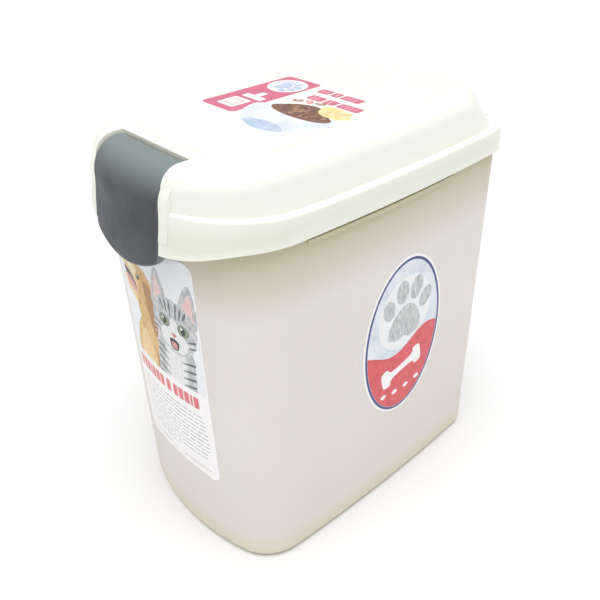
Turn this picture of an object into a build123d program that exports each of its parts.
from build123d import *
import os

# Pet food bin: a tall tub, a crowned lid hinged at the rear and a latch lever at the front.
# Millimetres, +Z up, front (latch side) towards -Y, origin on the floor under the middle of the bin.

# Lid plan: each edge is a flat arc, the four corners are rounded.
LID_FRONT = 149.0
LID_REAR = 152.0
LID_HALF_WIDTH = 96.3
LID_NOSE_RADIUS = 222.0
LID_TAIL_RADIUS = 585.0
LID_SIDE_RADIUS = 1660.0
LID_NOSE_CORNER = 70.0
LID_TAIL_CORNER = 28.0
NOSE_CENTRE_Y = LID_NOSE_RADIUS - LID_FRONT
NOSE_SWEEP = 16.0

# Limits wider and taller than any piece, for trimming.
WIDE = (-200.0, 200.0)
TALL = (200.0, 400.0)

# Lid section.
SKIRT_BOTTOM = 288.5
SKIRT_TOP = 306.5
SKIRT_LEAN = 1.0
SKIRT_FRONT_LEAN = 2.1
SKIRT_WALL = 2.0
SKIRT_DIP = 6.0
SKIRT_RISE = 6.0
SKIRT_DIP_START = 112.0
SKIRT_RISE_START = 50.0
SKIRT_END_SLOPE = 0.05
SKIRT_BLOCK_MARGIN = 16.0
RIM_EDGE_ROUND = 2.2
CROWN_FOOT_INSET = 5.5
CROWN_FOOT_FRONT_EXTRA = -1.0
CROWN_FOOT_REAR_EXTRA = 0.5
CROWN_FOOT_TAIL_CORNER = 34.0
CROWN_HEAD_INSET = 11.0
CROWN_HEAD_FRONT_EXTRA = -2.5
CROWN_HEAD_REAR_EXTRA = 10.5
CROWN_HEAD_TAIL_CORNER = 58.5
CROWN_FOOT_Z = 303.0
LID_TOP = 336.0
CROWN_ROUND = 14.0
LID_WALL = 2.4
PANEL_INSET = 30.0
PANEL_FRONT_EXTRA = 10.0
PANEL_REAR_EXTRA = 8.0
PANEL_TAIL_CORNER = 66.0
PANEL_RISE = 1.0
PANEL_ROUND = 0.8

# Latch lever: centre-line section of its outer face, swept about the nose centre.
LATCH_HALF_WIDTH = 37.8
LATCH_GAP = 0.7
LATCH_FACE = (
    (-118.0, 333.9), (-127.0, 333.7), (-134.0, 331.6), (-140.0, 326.6),
    (-143.9, 319.8), (-145.9, 307.0), (-148.6, 292.0), (-150.2, 276.0), (-150.9, 264.0),
)
LATCH_WALL = 2.6
LATCH_FLANGE_DEPTH = 4.4
LATCH_FLANGE_WALL = 2.2
LATCH_TOP_EDGE_Y = -118.6
LATCH_BOTTOM = 267.0
LATCH_CORNER = 7.0
LATCH_BOW_RADIUS = 76.0
LATCH_HOOK_TOP = 281.6
LATCH_HOOK_HEIGHT = 3.6
LATCH_HOOK_TIP_Y = -141.2
LATCH_HOOK_HALF_WIDTH = 36.0
LATCH_PIVOT = (-123.0, 329.3)
LATCH_KNUCKLE_RADIUS = 3.3
LATCH_PIN_RADIUS = 1.5
LATCH_PIN_HALF_LENGTH = 43.0
PIN_COVER = 1.0
RUNNING_CLEARANCE = 0.05

# Notch in the lid that the latch lies in.
NOTCH_HALF_WIDTH = LATCH_HALF_WIDTH + LATCH_GAP
NOTCH_BACK_Y = -116.0
NOTCH_FRONT_Y = -140.2
NOTCH_FLOOR = ((NOTCH_BACK_Y, 322.6), (-128.0, 321.4), (-135.0, 316.0), (NOTCH_FRONT_Y, 309.0))
NOTCH_FLOOR_SLOPE = 0.7
NOTCH_WALL_LOW = 291.0
HOUSING_HALF_WIDTH = 46.0
HOUSING_WALL = 2.4
HOUSING_BACK_Y = -100.0
HOUSING_LOW = 292.0

# Tub plan and section.
TUB_FRONT = 136.5
TUB_REAR = 145.5
TUB_HALF_WIDTH = 93.2
TUB_NOSE_RADIUS = NOSE_CENTRE_Y + TUB_FRONT
TUB_TAIL_RADIUS = 575.0
TUB_SIDE_RADIUS = 1655.0
TUB_TOP_CORNER = 56.0
TUB_BASE_CORNER = 38.0
TUB_TAIL_CORNER = 22.0
TUB_BASE_TAIL_CORNER = 12.0
TUB_FRONT_DRAFT = 1.7
TUB_SIDE_DRAFT = 0.3
TUB_REAR_DRAFT = 1.0
TUB_TOP = 300.0
TUB_WALL = 2.5
TUB_FLOOR = 3.0
TUB_BASE_ROUND = 7.5
RIM_HEIGHT = 9.0
RIM_WIDTH = 4.5
FOOT_HEIGHT = 1.6
FOOT_INSET = 11.0
FOOT_WIDTH = 4.0

# Grip ledges on the long sides, under the lid skirt.
LEDGE_REACH = 2.2
LEDGE_HALF_LENGTH = 72.0
LEDGE_BOTTOM = 283.6
LEDGE_HEIGHT = 2.8

# Catch on the front of the tub that the latch hook goes under.
CATCH_HALF_WIDTH = 30.0
CATCH_REACH = 6.2
CATCH_BOTTOM = 282.6
CATCH_HEIGHT = 3.2

# Seal ring and the channel in the lid that holds it.
SEAL_WIDTH = 4.0
SEAL_HEIGHT = 3.6
SEAL_LIFT = 0.3
CHANNEL_WALL = 1.6
CHANNEL_BOTTOM = 302.2
CHANNEL_FLOOR = TUB_TOP + SEAL_LIFT + SEAL_HEIGHT
CHANNEL_WEB = 2.0

# Rear hinge.
HINGE_Y = 152.5
HINGE_Z = 282.4
HINGE_X = 52.0
HINGE_RADIUS = 4.6
HINGE_PIN_RADIUS = 1.75
EAR_WIDTH = 5.0
KNUCKLE_WIDTH = 16.0
KNUCKLE_GAP = 0.5
KNUCKLE_WEB_INNER = 3.4
KNUCKLE_WEB_OUTER = 4.0
HINGE_WEB_DROP = 16.0

# Moves the plan so that the origin is midway between the latch face and the hinge ears.
FRAME_SHIFT = -(HINGE_Y + HINGE_RADIUS + LATCH_FACE[-1][0]) / 2

# Printed labels.
LABEL_THICKNESS = 0.5
LID_LABEL_SIZE = (110.0, 102.0)
LID_LABEL_CENTRE = (6.0, -11.0)
LID_LABEL_CORNER = 4.0
FRONT_LABEL_HALF_WIDTH = 48.5
FRONT_LABEL_BOTTOM = 75.0
FRONT_LABEL_TOP = 274.0
FRONT_LABEL_CORNER = 9.0
STICKER_CENTRE = (28.0, 162.0)
STICKER_RADII = (47.0, 74.5)


def plan(front, rear, half_width, nose, tail, side, nose_corner, tail_corner):
    """Flat face bounded by a nose arc, a tail arc and two side arcs, with rounded corners."""
    face = Pos(0, nose - front) * Circle(nose)
    face &= Pos(0, rear - tail) * Circle(tail)
    for sign in (-1, 1):
        face &= Pos(sign * (half_width - side), 0) * Circle(side)
    face = fillet(face.vertices().sort_by(Axis.Y)[:2], nose_corner)
    return fillet(face.vertices().sort_by(Axis.Y)[-2:], tail_corner)


def lid_plan(inset, z, front_extra=0.0, rear_extra=0.0, tail_corner=LID_TAIL_CORNER):
    """Lid outline moved inwards by inset, at height z."""
    face = plan(
        LID_FRONT - inset - front_extra,
        LID_REAR - inset - rear_extra,
        LID_HALF_WIDTH - inset,
        LID_NOSE_RADIUS - inset - front_extra,
        LID_TAIL_RADIUS - inset,
        LID_SIDE_RADIUS - inset,
        LID_NOSE_CORNER - inset,
        tail_corner - inset,
    )
    return Pos(0, 0, z) * face


def tub_plan(inset, z):
    """Tub outline moved inwards by inset, at height z; the corners tighten towards the base."""
    drop = 1 - z / TUB_TOP
    nose_corner = TUB_TOP_CORNER + (TUB_BASE_CORNER - TUB_TOP_CORNER) * drop
    tail_corner = TUB_TAIL_CORNER + (TUB_BASE_TAIL_CORNER - TUB_TAIL_CORNER) * drop
    front_in = inset + TUB_FRONT_DRAFT * drop
    side_in = inset + TUB_SIDE_DRAFT * drop
    face = plan(
        TUB_FRONT - front_in,
        TUB_REAR - inset - TUB_REAR_DRAFT * drop,
        TUB_HALF_WIDTH - side_in,
        TUB_NOSE_RADIUS - front_in,
        TUB_TAIL_RADIUS - inset,
        TUB_SIDE_RADIUS - side_in,
        nose_corner - inset,
        tail_corner - inset / 2,
    )
    return Pos(0, 0, z) * face


def slab(x_range, y_range, z_range):
    """Box between the given limits."""
    size = [b - a for a, b in (x_range, y_range, z_range)]
    middle = [(a + b) / 2 for a, b in (x_range, y_range, z_range)]
    return Pos(*middle) * Box(*size)


def rod(radius, x_range, y, z):
    """Cylinder along X."""
    length = x_range[1] - x_range[0]
    return Pos(sum(x_range) / 2, y, z) * Rot(0, 90, 0) * Cylinder(radius, length)


def tub_ring(outer_inset, inner_inset, z_low, z_high):
    """Upright ring that follows the tub rim."""
    band = tub_plan(outer_inset, TUB_TOP) - tub_plan(inner_inset, TUB_TOP)
    return Pos(0, 0, z_low - TUB_TOP) * extrude(band, z_high - z_low, dir=(0, 0, 1))


def section(points):
    """Flat face in the YZ plane over a closed polygon of (y, z) points."""
    return Face(Wire.make_polygon([(0, y, z) for y, z in points], close=True))


def side_prism(points, x_range):
    """Prism along X over a closed polygon of (y, z) points."""
    start = Pos(x_range[0], 0, 0) * section(points)
    return extrude(start, x_range[1] - x_range[0], dir=(1, 0, 0))


def swept_about_nose(face):
    """Turn a face in the YZ plane about the upright axis through the nose centre."""
    axis = Axis((0, NOSE_CENTRE_Y, 0), (0, 0, 1))
    return revolve(face.rotate(axis, -NOSE_SWEEP), axis, 2 * NOSE_SWEEP)


def shifted(points, depth):
    """Points of a section curve moved inwards by depth, square to the curve."""
    moved = []
    for before, here, after in zip((points[0], *points), points, (*points[1:], points[-1])):
        run = Vector(after[0] - before[0], after[1] - before[1]).normalized()
        moved.append((here[0] - depth * run.Y, here[1] + depth * run.X))
    return moved


def smooth(points):
    """Smooth edge in the YZ plane through (y, z) points."""
    return Edge.make_spline([Vector(0, y, z) for y, z in points])


def latch_band(depth):
    """Section between the outer face of the latch and the same curve at the given depth."""
    outer = smooth(LATCH_FACE)
    inner = smooth(shifted(LATCH_FACE, depth))
    ends = [Edge.make_line(outer @ t, inner @ t) for t in (0, 1)]
    return Face(Wire([outer, ends[1], inner, ends[0]]))


def latch_front_view():
    """Outline of the latch seen from the front: a bowed lower edge with rounded corners."""
    height = LID_TOP - LATCH_BOTTOM
    middle = (LID_TOP + LATCH_BOTTOM) / 2
    face = Pos(0, middle) * Rectangle(2 * LATCH_HALF_WIDTH, height)
    bow = Pos(0, LATCH_BOTTOM + LATCH_BOW_RADIUS) * Circle(LATCH_BOW_RADIUS)
    cap = Pos(0, LID_TOP) * Rectangle(2 * LATCH_HALF_WIDTH, height)
    face = face & (bow + cap)
    face = fillet(face.vertices().sort_by(Axis.Y)[:2], LATCH_CORNER)
    upright = Plane.XZ * face
    return extrude(upright, 2 * LID_FRONT, dir=(0, -1, 0))


def latch():
    """Curved lever with side flanges, a hook along its foot and a knuckle near its top edge."""
    half = LATCH_HALF_WIDTH
    shell = swept_about_nose(latch_band(LATCH_WALL))
    flange = swept_about_nose(latch_band(LATCH_FLANGE_DEPTH))
    inside = half - LATCH_FLANGE_WALL
    flange -= slab((-inside, inside), WIDE, TALL)
    hook_low = LATCH_HOOK_TOP - LATCH_HOOK_HEIGHT
    tip, back = LATCH_HOOK_TIP_Y, LATCH_FACE[-1][0] + LATCH_WALL / 2
    hook = swept_about_nose(section([
        (tip, LATCH_HOOK_TOP), (back, LATCH_HOOK_TOP), (back, hook_low), (tip, hook_low),
    ]))
    hook &= slab((-LATCH_HOOK_HALF_WIDTH, LATCH_HOOK_HALF_WIDTH), WIDE, TALL)
    body = (shell + flange + hook) & latch_front_view()
    body &= slab((-half, half), (WIDE[0], LATCH_TOP_EDGE_Y), TALL)
    body += rod(LATCH_KNUCKLE_RADIUS, (-half, half), *LATCH_PIVOT)
    bore = LATCH_PIN_RADIUS + RUNNING_CLEARANCE
    return body - rod(bore, (-half, half), *LATCH_PIVOT)


def latch_pin():
    """Steel pin that the latch turns on."""
    half = LATCH_PIN_HALF_LENGTH
    return rod(LATCH_PIN_RADIUS, (-half, half), *LATCH_PIVOT)


def skirt_side_view(drop, low):
    """Side view of the skirt, deeper at the nose, with its top lowered by drop."""
    nose, tail = -LID_FRONT - 2 * SKIRT_WALL, LID_REAR + 2 * SKIRT_WALL
    top, bottom = SKIRT_TOP - drop, SKIRT_BOTTOM - low
    rise = Edge.make_spline(
        [Vector(0, -SKIRT_RISE_START, top), Vector(0, nose, top + SKIRT_RISE)],
        tangents=[Vector(0, -1, 0), Vector(0, -1, SKIRT_END_SLOPE)],
    )
    dip = Edge.make_spline(
        [Vector(0, -SKIRT_DIP_START, bottom), Vector(0, nose, bottom - SKIRT_DIP)],
        tangents=[Vector(0, -1, 0), Vector(0, -1, -SKIRT_END_SLOPE)],
    )
    face = Face(Wire([
        rise,
        Edge.make_line(rise @ 1, dip @ 1),
        dip,
        Edge.make_line(dip @ 0, (0, tail, bottom)),
        Edge.make_line((0, tail, bottom), (0, tail, top)),
        Edge.make_line((0, tail, top), rise @ 0),
    ]))
    start = Pos(-LID_HALF_WIDTH, 0, 0) * face
    return extrude(start, 2 * LID_HALF_WIDTH, dir=(1, 0, 0))


def skirt_block(inset, drop, low):
    """Solid inside the skirt surface moved inwards by inset."""
    z_low, z_high = SKIRT_BOTTOM - SKIRT_BLOCK_MARGIN, SKIRT_TOP + SKIRT_BLOCK_MARGIN
    faces = []
    for z in (z_low, z_high):
        share = (z - SKIRT_BOTTOM) / (SKIRT_TOP - SKIRT_BOTTOM)
        faces.append(lid_plan(inset + SKIRT_LEAN * share, z, SKIRT_FRONT_LEAN * share))
    return loft(faces, ruled=True) & skirt_side_view(drop, low)


def crown_block(inset, drop, rounding):
    """Raised middle of the lid with a rounded upper edge."""
    foot = lid_plan(
        CROWN_FOOT_INSET + inset, CROWN_FOOT_Z,
        CROWN_FOOT_FRONT_EXTRA, CROWN_FOOT_REAR_EXTRA, CROWN_FOOT_TAIL_CORNER,
    )
    head = lid_plan(
        CROWN_HEAD_INSET + inset, LID_TOP - drop,
        CROWN_HEAD_FRONT_EXTRA, CROWN_HEAD_REAR_EXTRA, CROWN_HEAD_TAIL_CORNER,
    )
    block = loft([foot, head], ruled=True)
    return fillet(block.edges().group_by(Axis.Z)[-1], rounding)


def housing_block(depth, half_width):
    """Raised cheeks and brow round the latch, flush with its outer face."""
    curve = smooth(shifted(LATCH_FACE, depth))
    start, end = curve @ 0, curve @ 1
    back = Vector(0, HOUSING_BACK_Y, start.Z)
    foot = Vector(0, HOUSING_BACK_Y, end.Z)
    face = Face(Wire([
        curve,
        Edge.make_line(end, foot),
        Edge.make_line(foot, back),
        Edge.make_line(back, start),
    ]))
    return swept_about_nose(face) & slab((-half_width, half_width), WIDE, (HOUSING_LOW, LID_TOP))


def notch_block(grow):
    """Space that the latch lies in; grow gives the outside of the tray round it."""
    floor = [(y + grow * NOTCH_FLOOR_SLOPE, z - grow) for y, z in NOTCH_FLOOR]
    points = [(HOUSING_BACK_Y, TALL[1]), (HOUSING_BACK_Y, floor[0][1]), *floor]
    points += [(floor[-1][0], LATCH_BOTTOM), (WIDE[0], LATCH_BOTTOM), (WIDE[0], TALL[1])]
    half = NOTCH_HALF_WIDTH + grow
    return swept_about_nose(section(points)) & slab((-half, half), (WIDE[0], NOTCH_BACK_Y + grow), TALL)


def channel_ribs():
    """Two ribs and a web under the lid that hold the seal; at the front the inner rib reaches the crown."""
    outer = RIM_WIDTH / 2 - SEAL_WIDTH / 2
    inner = RIM_WIDTH / 2 + SEAL_WIDTH / 2
    web_top = CHANNEL_FLOOR + CHANNEL_WEB
    ribs = tub_ring(outer - CHANNEL_WALL, outer, CHANNEL_BOTTOM, web_top)
    ribs += tub_ring(inner, inner + CHANNEL_WALL, CHANNEL_BOTTOM, web_top)
    ribs += tub_ring(inner, inner + CHANNEL_WALL, CHANNEL_FLOOR, LID_TOP) & slab(WIDE, (WIDE[0], 0), TALL)
    return ribs + tub_ring(outer - CHANNEL_WALL, inner + CHANNEL_WALL, CHANNEL_FLOOR, web_top)


def hinge_knuckle(x):
    """Knuckle on the rear of the lid that turns on one hinge pin."""
    half = KNUCKLE_WIDTH / 2
    body = rod(HINGE_RADIUS, (x - half, x + half), HINGE_Y, HINGE_Z)
    web = slab(
        (x - half, x + half),
        (HINGE_Y - KNUCKLE_WEB_INNER, HINGE_Y + KNUCKLE_WEB_OUTER),
        (HINGE_Z, SKIRT_TOP - LID_WALL),
    )
    return body + web


def lid():
    """Crowned lid: skirt, raised crown, panel, latch notch, seal channel and hinge knuckles."""
    outer = skirt_block(0, 0, 0)
    rim_edges = outer.edges().filter_by(lambda e: e.center().Z > SKIRT_TOP - RIM_EDGE_ROUND)
    rim_edges = rim_edges.filter_by(
        lambda e: abs(e.center().X) > SKIRT_WALL or abs(e.center().Y) > SKIRT_DIP_START
    )
    outer = fillet(rim_edges, RIM_EDGE_ROUND)
    outer += crown_block(0, 0, CROWN_ROUND)
    outer += housing_block(0, HOUSING_HALF_WIDTH)
    inner = skirt_block(SKIRT_WALL, LID_WALL, SKIRT_BLOCK_MARGIN / 2)
    inner += crown_block(LID_WALL, LID_WALL, CROWN_ROUND - LID_WALL)
    inner += housing_block(HOUSING_WALL, HOUSING_HALF_WIDTH - HOUSING_WALL)
    body = outer - inner
    tray = notch_block(HOUSING_WALL) & slab(WIDE, WIDE, (NOTCH_WALL_LOW, LID_TOP))
    body += (tray + channel_ribs()) & outer
    body -= notch_block(0)
    for x in (-HINGE_X, HINGE_X):
        body += hinge_knuckle(x)
    panel = lid_plan(PANEL_INSET, LID_TOP, PANEL_FRONT_EXTRA, PANEL_REAR_EXTRA, PANEL_TAIL_CORNER)
    panel = extrude(panel, PANEL_RISE)
    body += fillet(panel.edges().group_by(Axis.Z)[-1], PANEL_ROUND)
    cheek = LATCH_PIN_HALF_LENGTH
    boss_end = cheek + PIN_COVER
    body += rod(LATCH_KNUCKLE_RADIUS, (-boss_end, boss_end), *LATCH_PIVOT) - notch_block(0)
    body -= rod(LATCH_PIN_RADIUS, (-cheek, cheek), *LATCH_PIVOT)
    bore = HINGE_PIN_RADIUS + RUNNING_CLEARANCE
    return body - rod(bore, (-2 * HINGE_X, 2 * HINGE_X), HINGE_Y, HINGE_Z)


def lid_seal():
    """Soft ring in the lid channel that meets the tub rim."""
    low = TUB_TOP + SEAL_LIFT
    inset = RIM_WIDTH / 2
    return tub_ring(inset - SEAL_WIDTH / 2, inset + SEAL_WIDTH / 2, low, CHANNEL_FLOOR)


def tub_skin(offset):
    """Solid inside the outer surface of the tub walls moved outwards by offset."""
    return loft([tub_plan(-offset, 0), tub_plan(-offset, TUB_TOP)], ruled=True)


def hinge_ears(x):
    """Two ears on the rear of the tub that hold one hinge pin."""
    ears = None
    gap = KNUCKLE_WIDTH / 2 + KNUCKLE_GAP
    rib = [
        (TUB_REAR - 2 * TUB_WALL, HINGE_Z + HINGE_RADIUS),
        (HINGE_Y, HINGE_Z + HINGE_RADIUS),
        (HINGE_Y + HINGE_RADIUS, HINGE_Z),
        (HINGE_Y, HINGE_Z - HINGE_RADIUS),
        (TUB_REAR - 2 * TUB_WALL, HINGE_Z - HINGE_WEB_DROP),
    ]
    for sign in (-1, 1):
        span = sorted((x + sign * gap, x + sign * (gap + EAR_WIDTH)))
        ear = side_prism(rib, span) + rod(HINGE_RADIUS, span, HINGE_Y, HINGE_Z)
        ears = ear if ears is None else ears + ear
    return ears


def grip_ledge(sign):
    """Curved ledge on a long side that fades out at both ends."""
    radius = LEDGE_HALF_LENGTH**2 / (2 * LEDGE_REACH)
    reach = TUB_HALF_WIDTH + LEDGE_REACH
    lens = Pos(sign * (reach - radius), 0) * Circle(radius)
    lens &= Pos(sign * reach, 0) * Rectangle(4 * LEDGE_REACH, 2 * LEDGE_HALF_LENGTH)
    return extrude(Pos(0, 0, LEDGE_BOTTOM) * lens, LEDGE_HEIGHT)


def catch():
    """Ledge on the front of the tub that the latch hook goes under."""
    out, low = -TUB_FRONT - CATCH_REACH, CATCH_BOTTOM
    ledge = section([
        (-TUB_FRONT + TUB_WALL, low), (out, low), (out, low + CATCH_HEIGHT / 2),
        (out + CATCH_HEIGHT / 2, low + CATCH_HEIGHT), (-TUB_FRONT + TUB_WALL, low + 2 * CATCH_HEIGHT),
    ])
    return swept_about_nose(ledge) & slab((-CATCH_HALF_WIDTH, CATCH_HALF_WIDTH), WIDE, TALL)


def tub():
    """Tall moulded tub with a rounded base, a thick rim, grip ledges, a catch and hinge ears."""
    body = tub_skin(0)
    body = fillet(body.edges().group_by(Axis.Z)[0], TUB_BASE_ROUND)
    body += catch()
    for sign in (-1, 1):
        body += grip_ledge(sign) + hinge_ears(sign * HINGE_X)
    floor = FOOT_HEIGHT + TUB_FLOOR
    cavity = loft([tub_plan(TUB_WALL, floor), tub_plan(TUB_WALL, TUB_TOP)], ruled=True)
    cavity = fillet(cavity.edges().group_by(Axis.Z)[0], TUB_BASE_ROUND - TUB_WALL)
    body -= cavity
    body += tub_ring(TUB_WALL / 2, RIM_WIDTH, TUB_TOP - RIM_HEIGHT, TUB_TOP)
    body -= extrude(tub_plan(FOOT_INSET + FOOT_WIDTH, 0), FOOT_HEIGHT)
    pins = rod(HINGE_PIN_RADIUS, (-2 * HINGE_X, 2 * HINGE_X), HINGE_Y, HINGE_Z)
    return body - pins


def hinge_pin(x):
    """Steel pin held in two ears of the tub."""
    half = KNUCKLE_WIDTH / 2 + KNUCKLE_GAP + EAR_WIDTH
    return rod(HINGE_PIN_RADIUS, (x - half, x + half), HINGE_Y, HINGE_Z)


def wrapped_label(prism):
    """Thin layer on the tub wall inside the given prism."""
    return (tub_skin(LABEL_THICKNESS) - tub_skin(0)) & prism


def lid_label():
    """Printed label on the raised panel of the lid."""
    z = LID_TOP + PANEL_RISE
    face = Pos(*LID_LABEL_CENTRE, z) * RectangleRounded(*LID_LABEL_SIZE, LID_LABEL_CORNER)
    return extrude(face, LABEL_THICKNESS)


def front_label():
    """Tall printed label on the front of the tub."""
    height = FRONT_LABEL_TOP - FRONT_LABEL_BOTTOM
    face = RectangleRounded(2 * FRONT_LABEL_HALF_WIDTH, height, FRONT_LABEL_CORNER)
    upright = Plane.XZ * (Pos(0, FRONT_LABEL_BOTTOM + height / 2) * face)
    return wrapped_label(extrude(upright, LID_FRONT, dir=(0, -1, 0)))


def side_sticker():
    """Oval sticker on one long side of the tub."""
    upright = Plane.YZ * (Pos(*STICKER_CENTRE) * Ellipse(*STICKER_RADII))
    return wrapped_label(extrude(upright, LID_HALF_WIDTH, dir=(1, 0, 0)))


PIECES = {
    "tub": tub,
    "lid": lid,
    "lid_seal": lid_seal,
    "latch": latch,
    "latch_pin": latch_pin,
    "hinge_pin_left": lambda: hinge_pin(-HINGE_X),
    "hinge_pin_right": lambda: hinge_pin(HINGE_X),
    "lid_label": lid_label,
    "front_label": front_label,
    "side_sticker": side_sticker,
}

os.makedirs("parts", exist_ok=True)
for name, make in PIECES.items():
    export_step(Pos(0, FRAME_SHIFT, 0) * make(), f"parts/{name}.step")
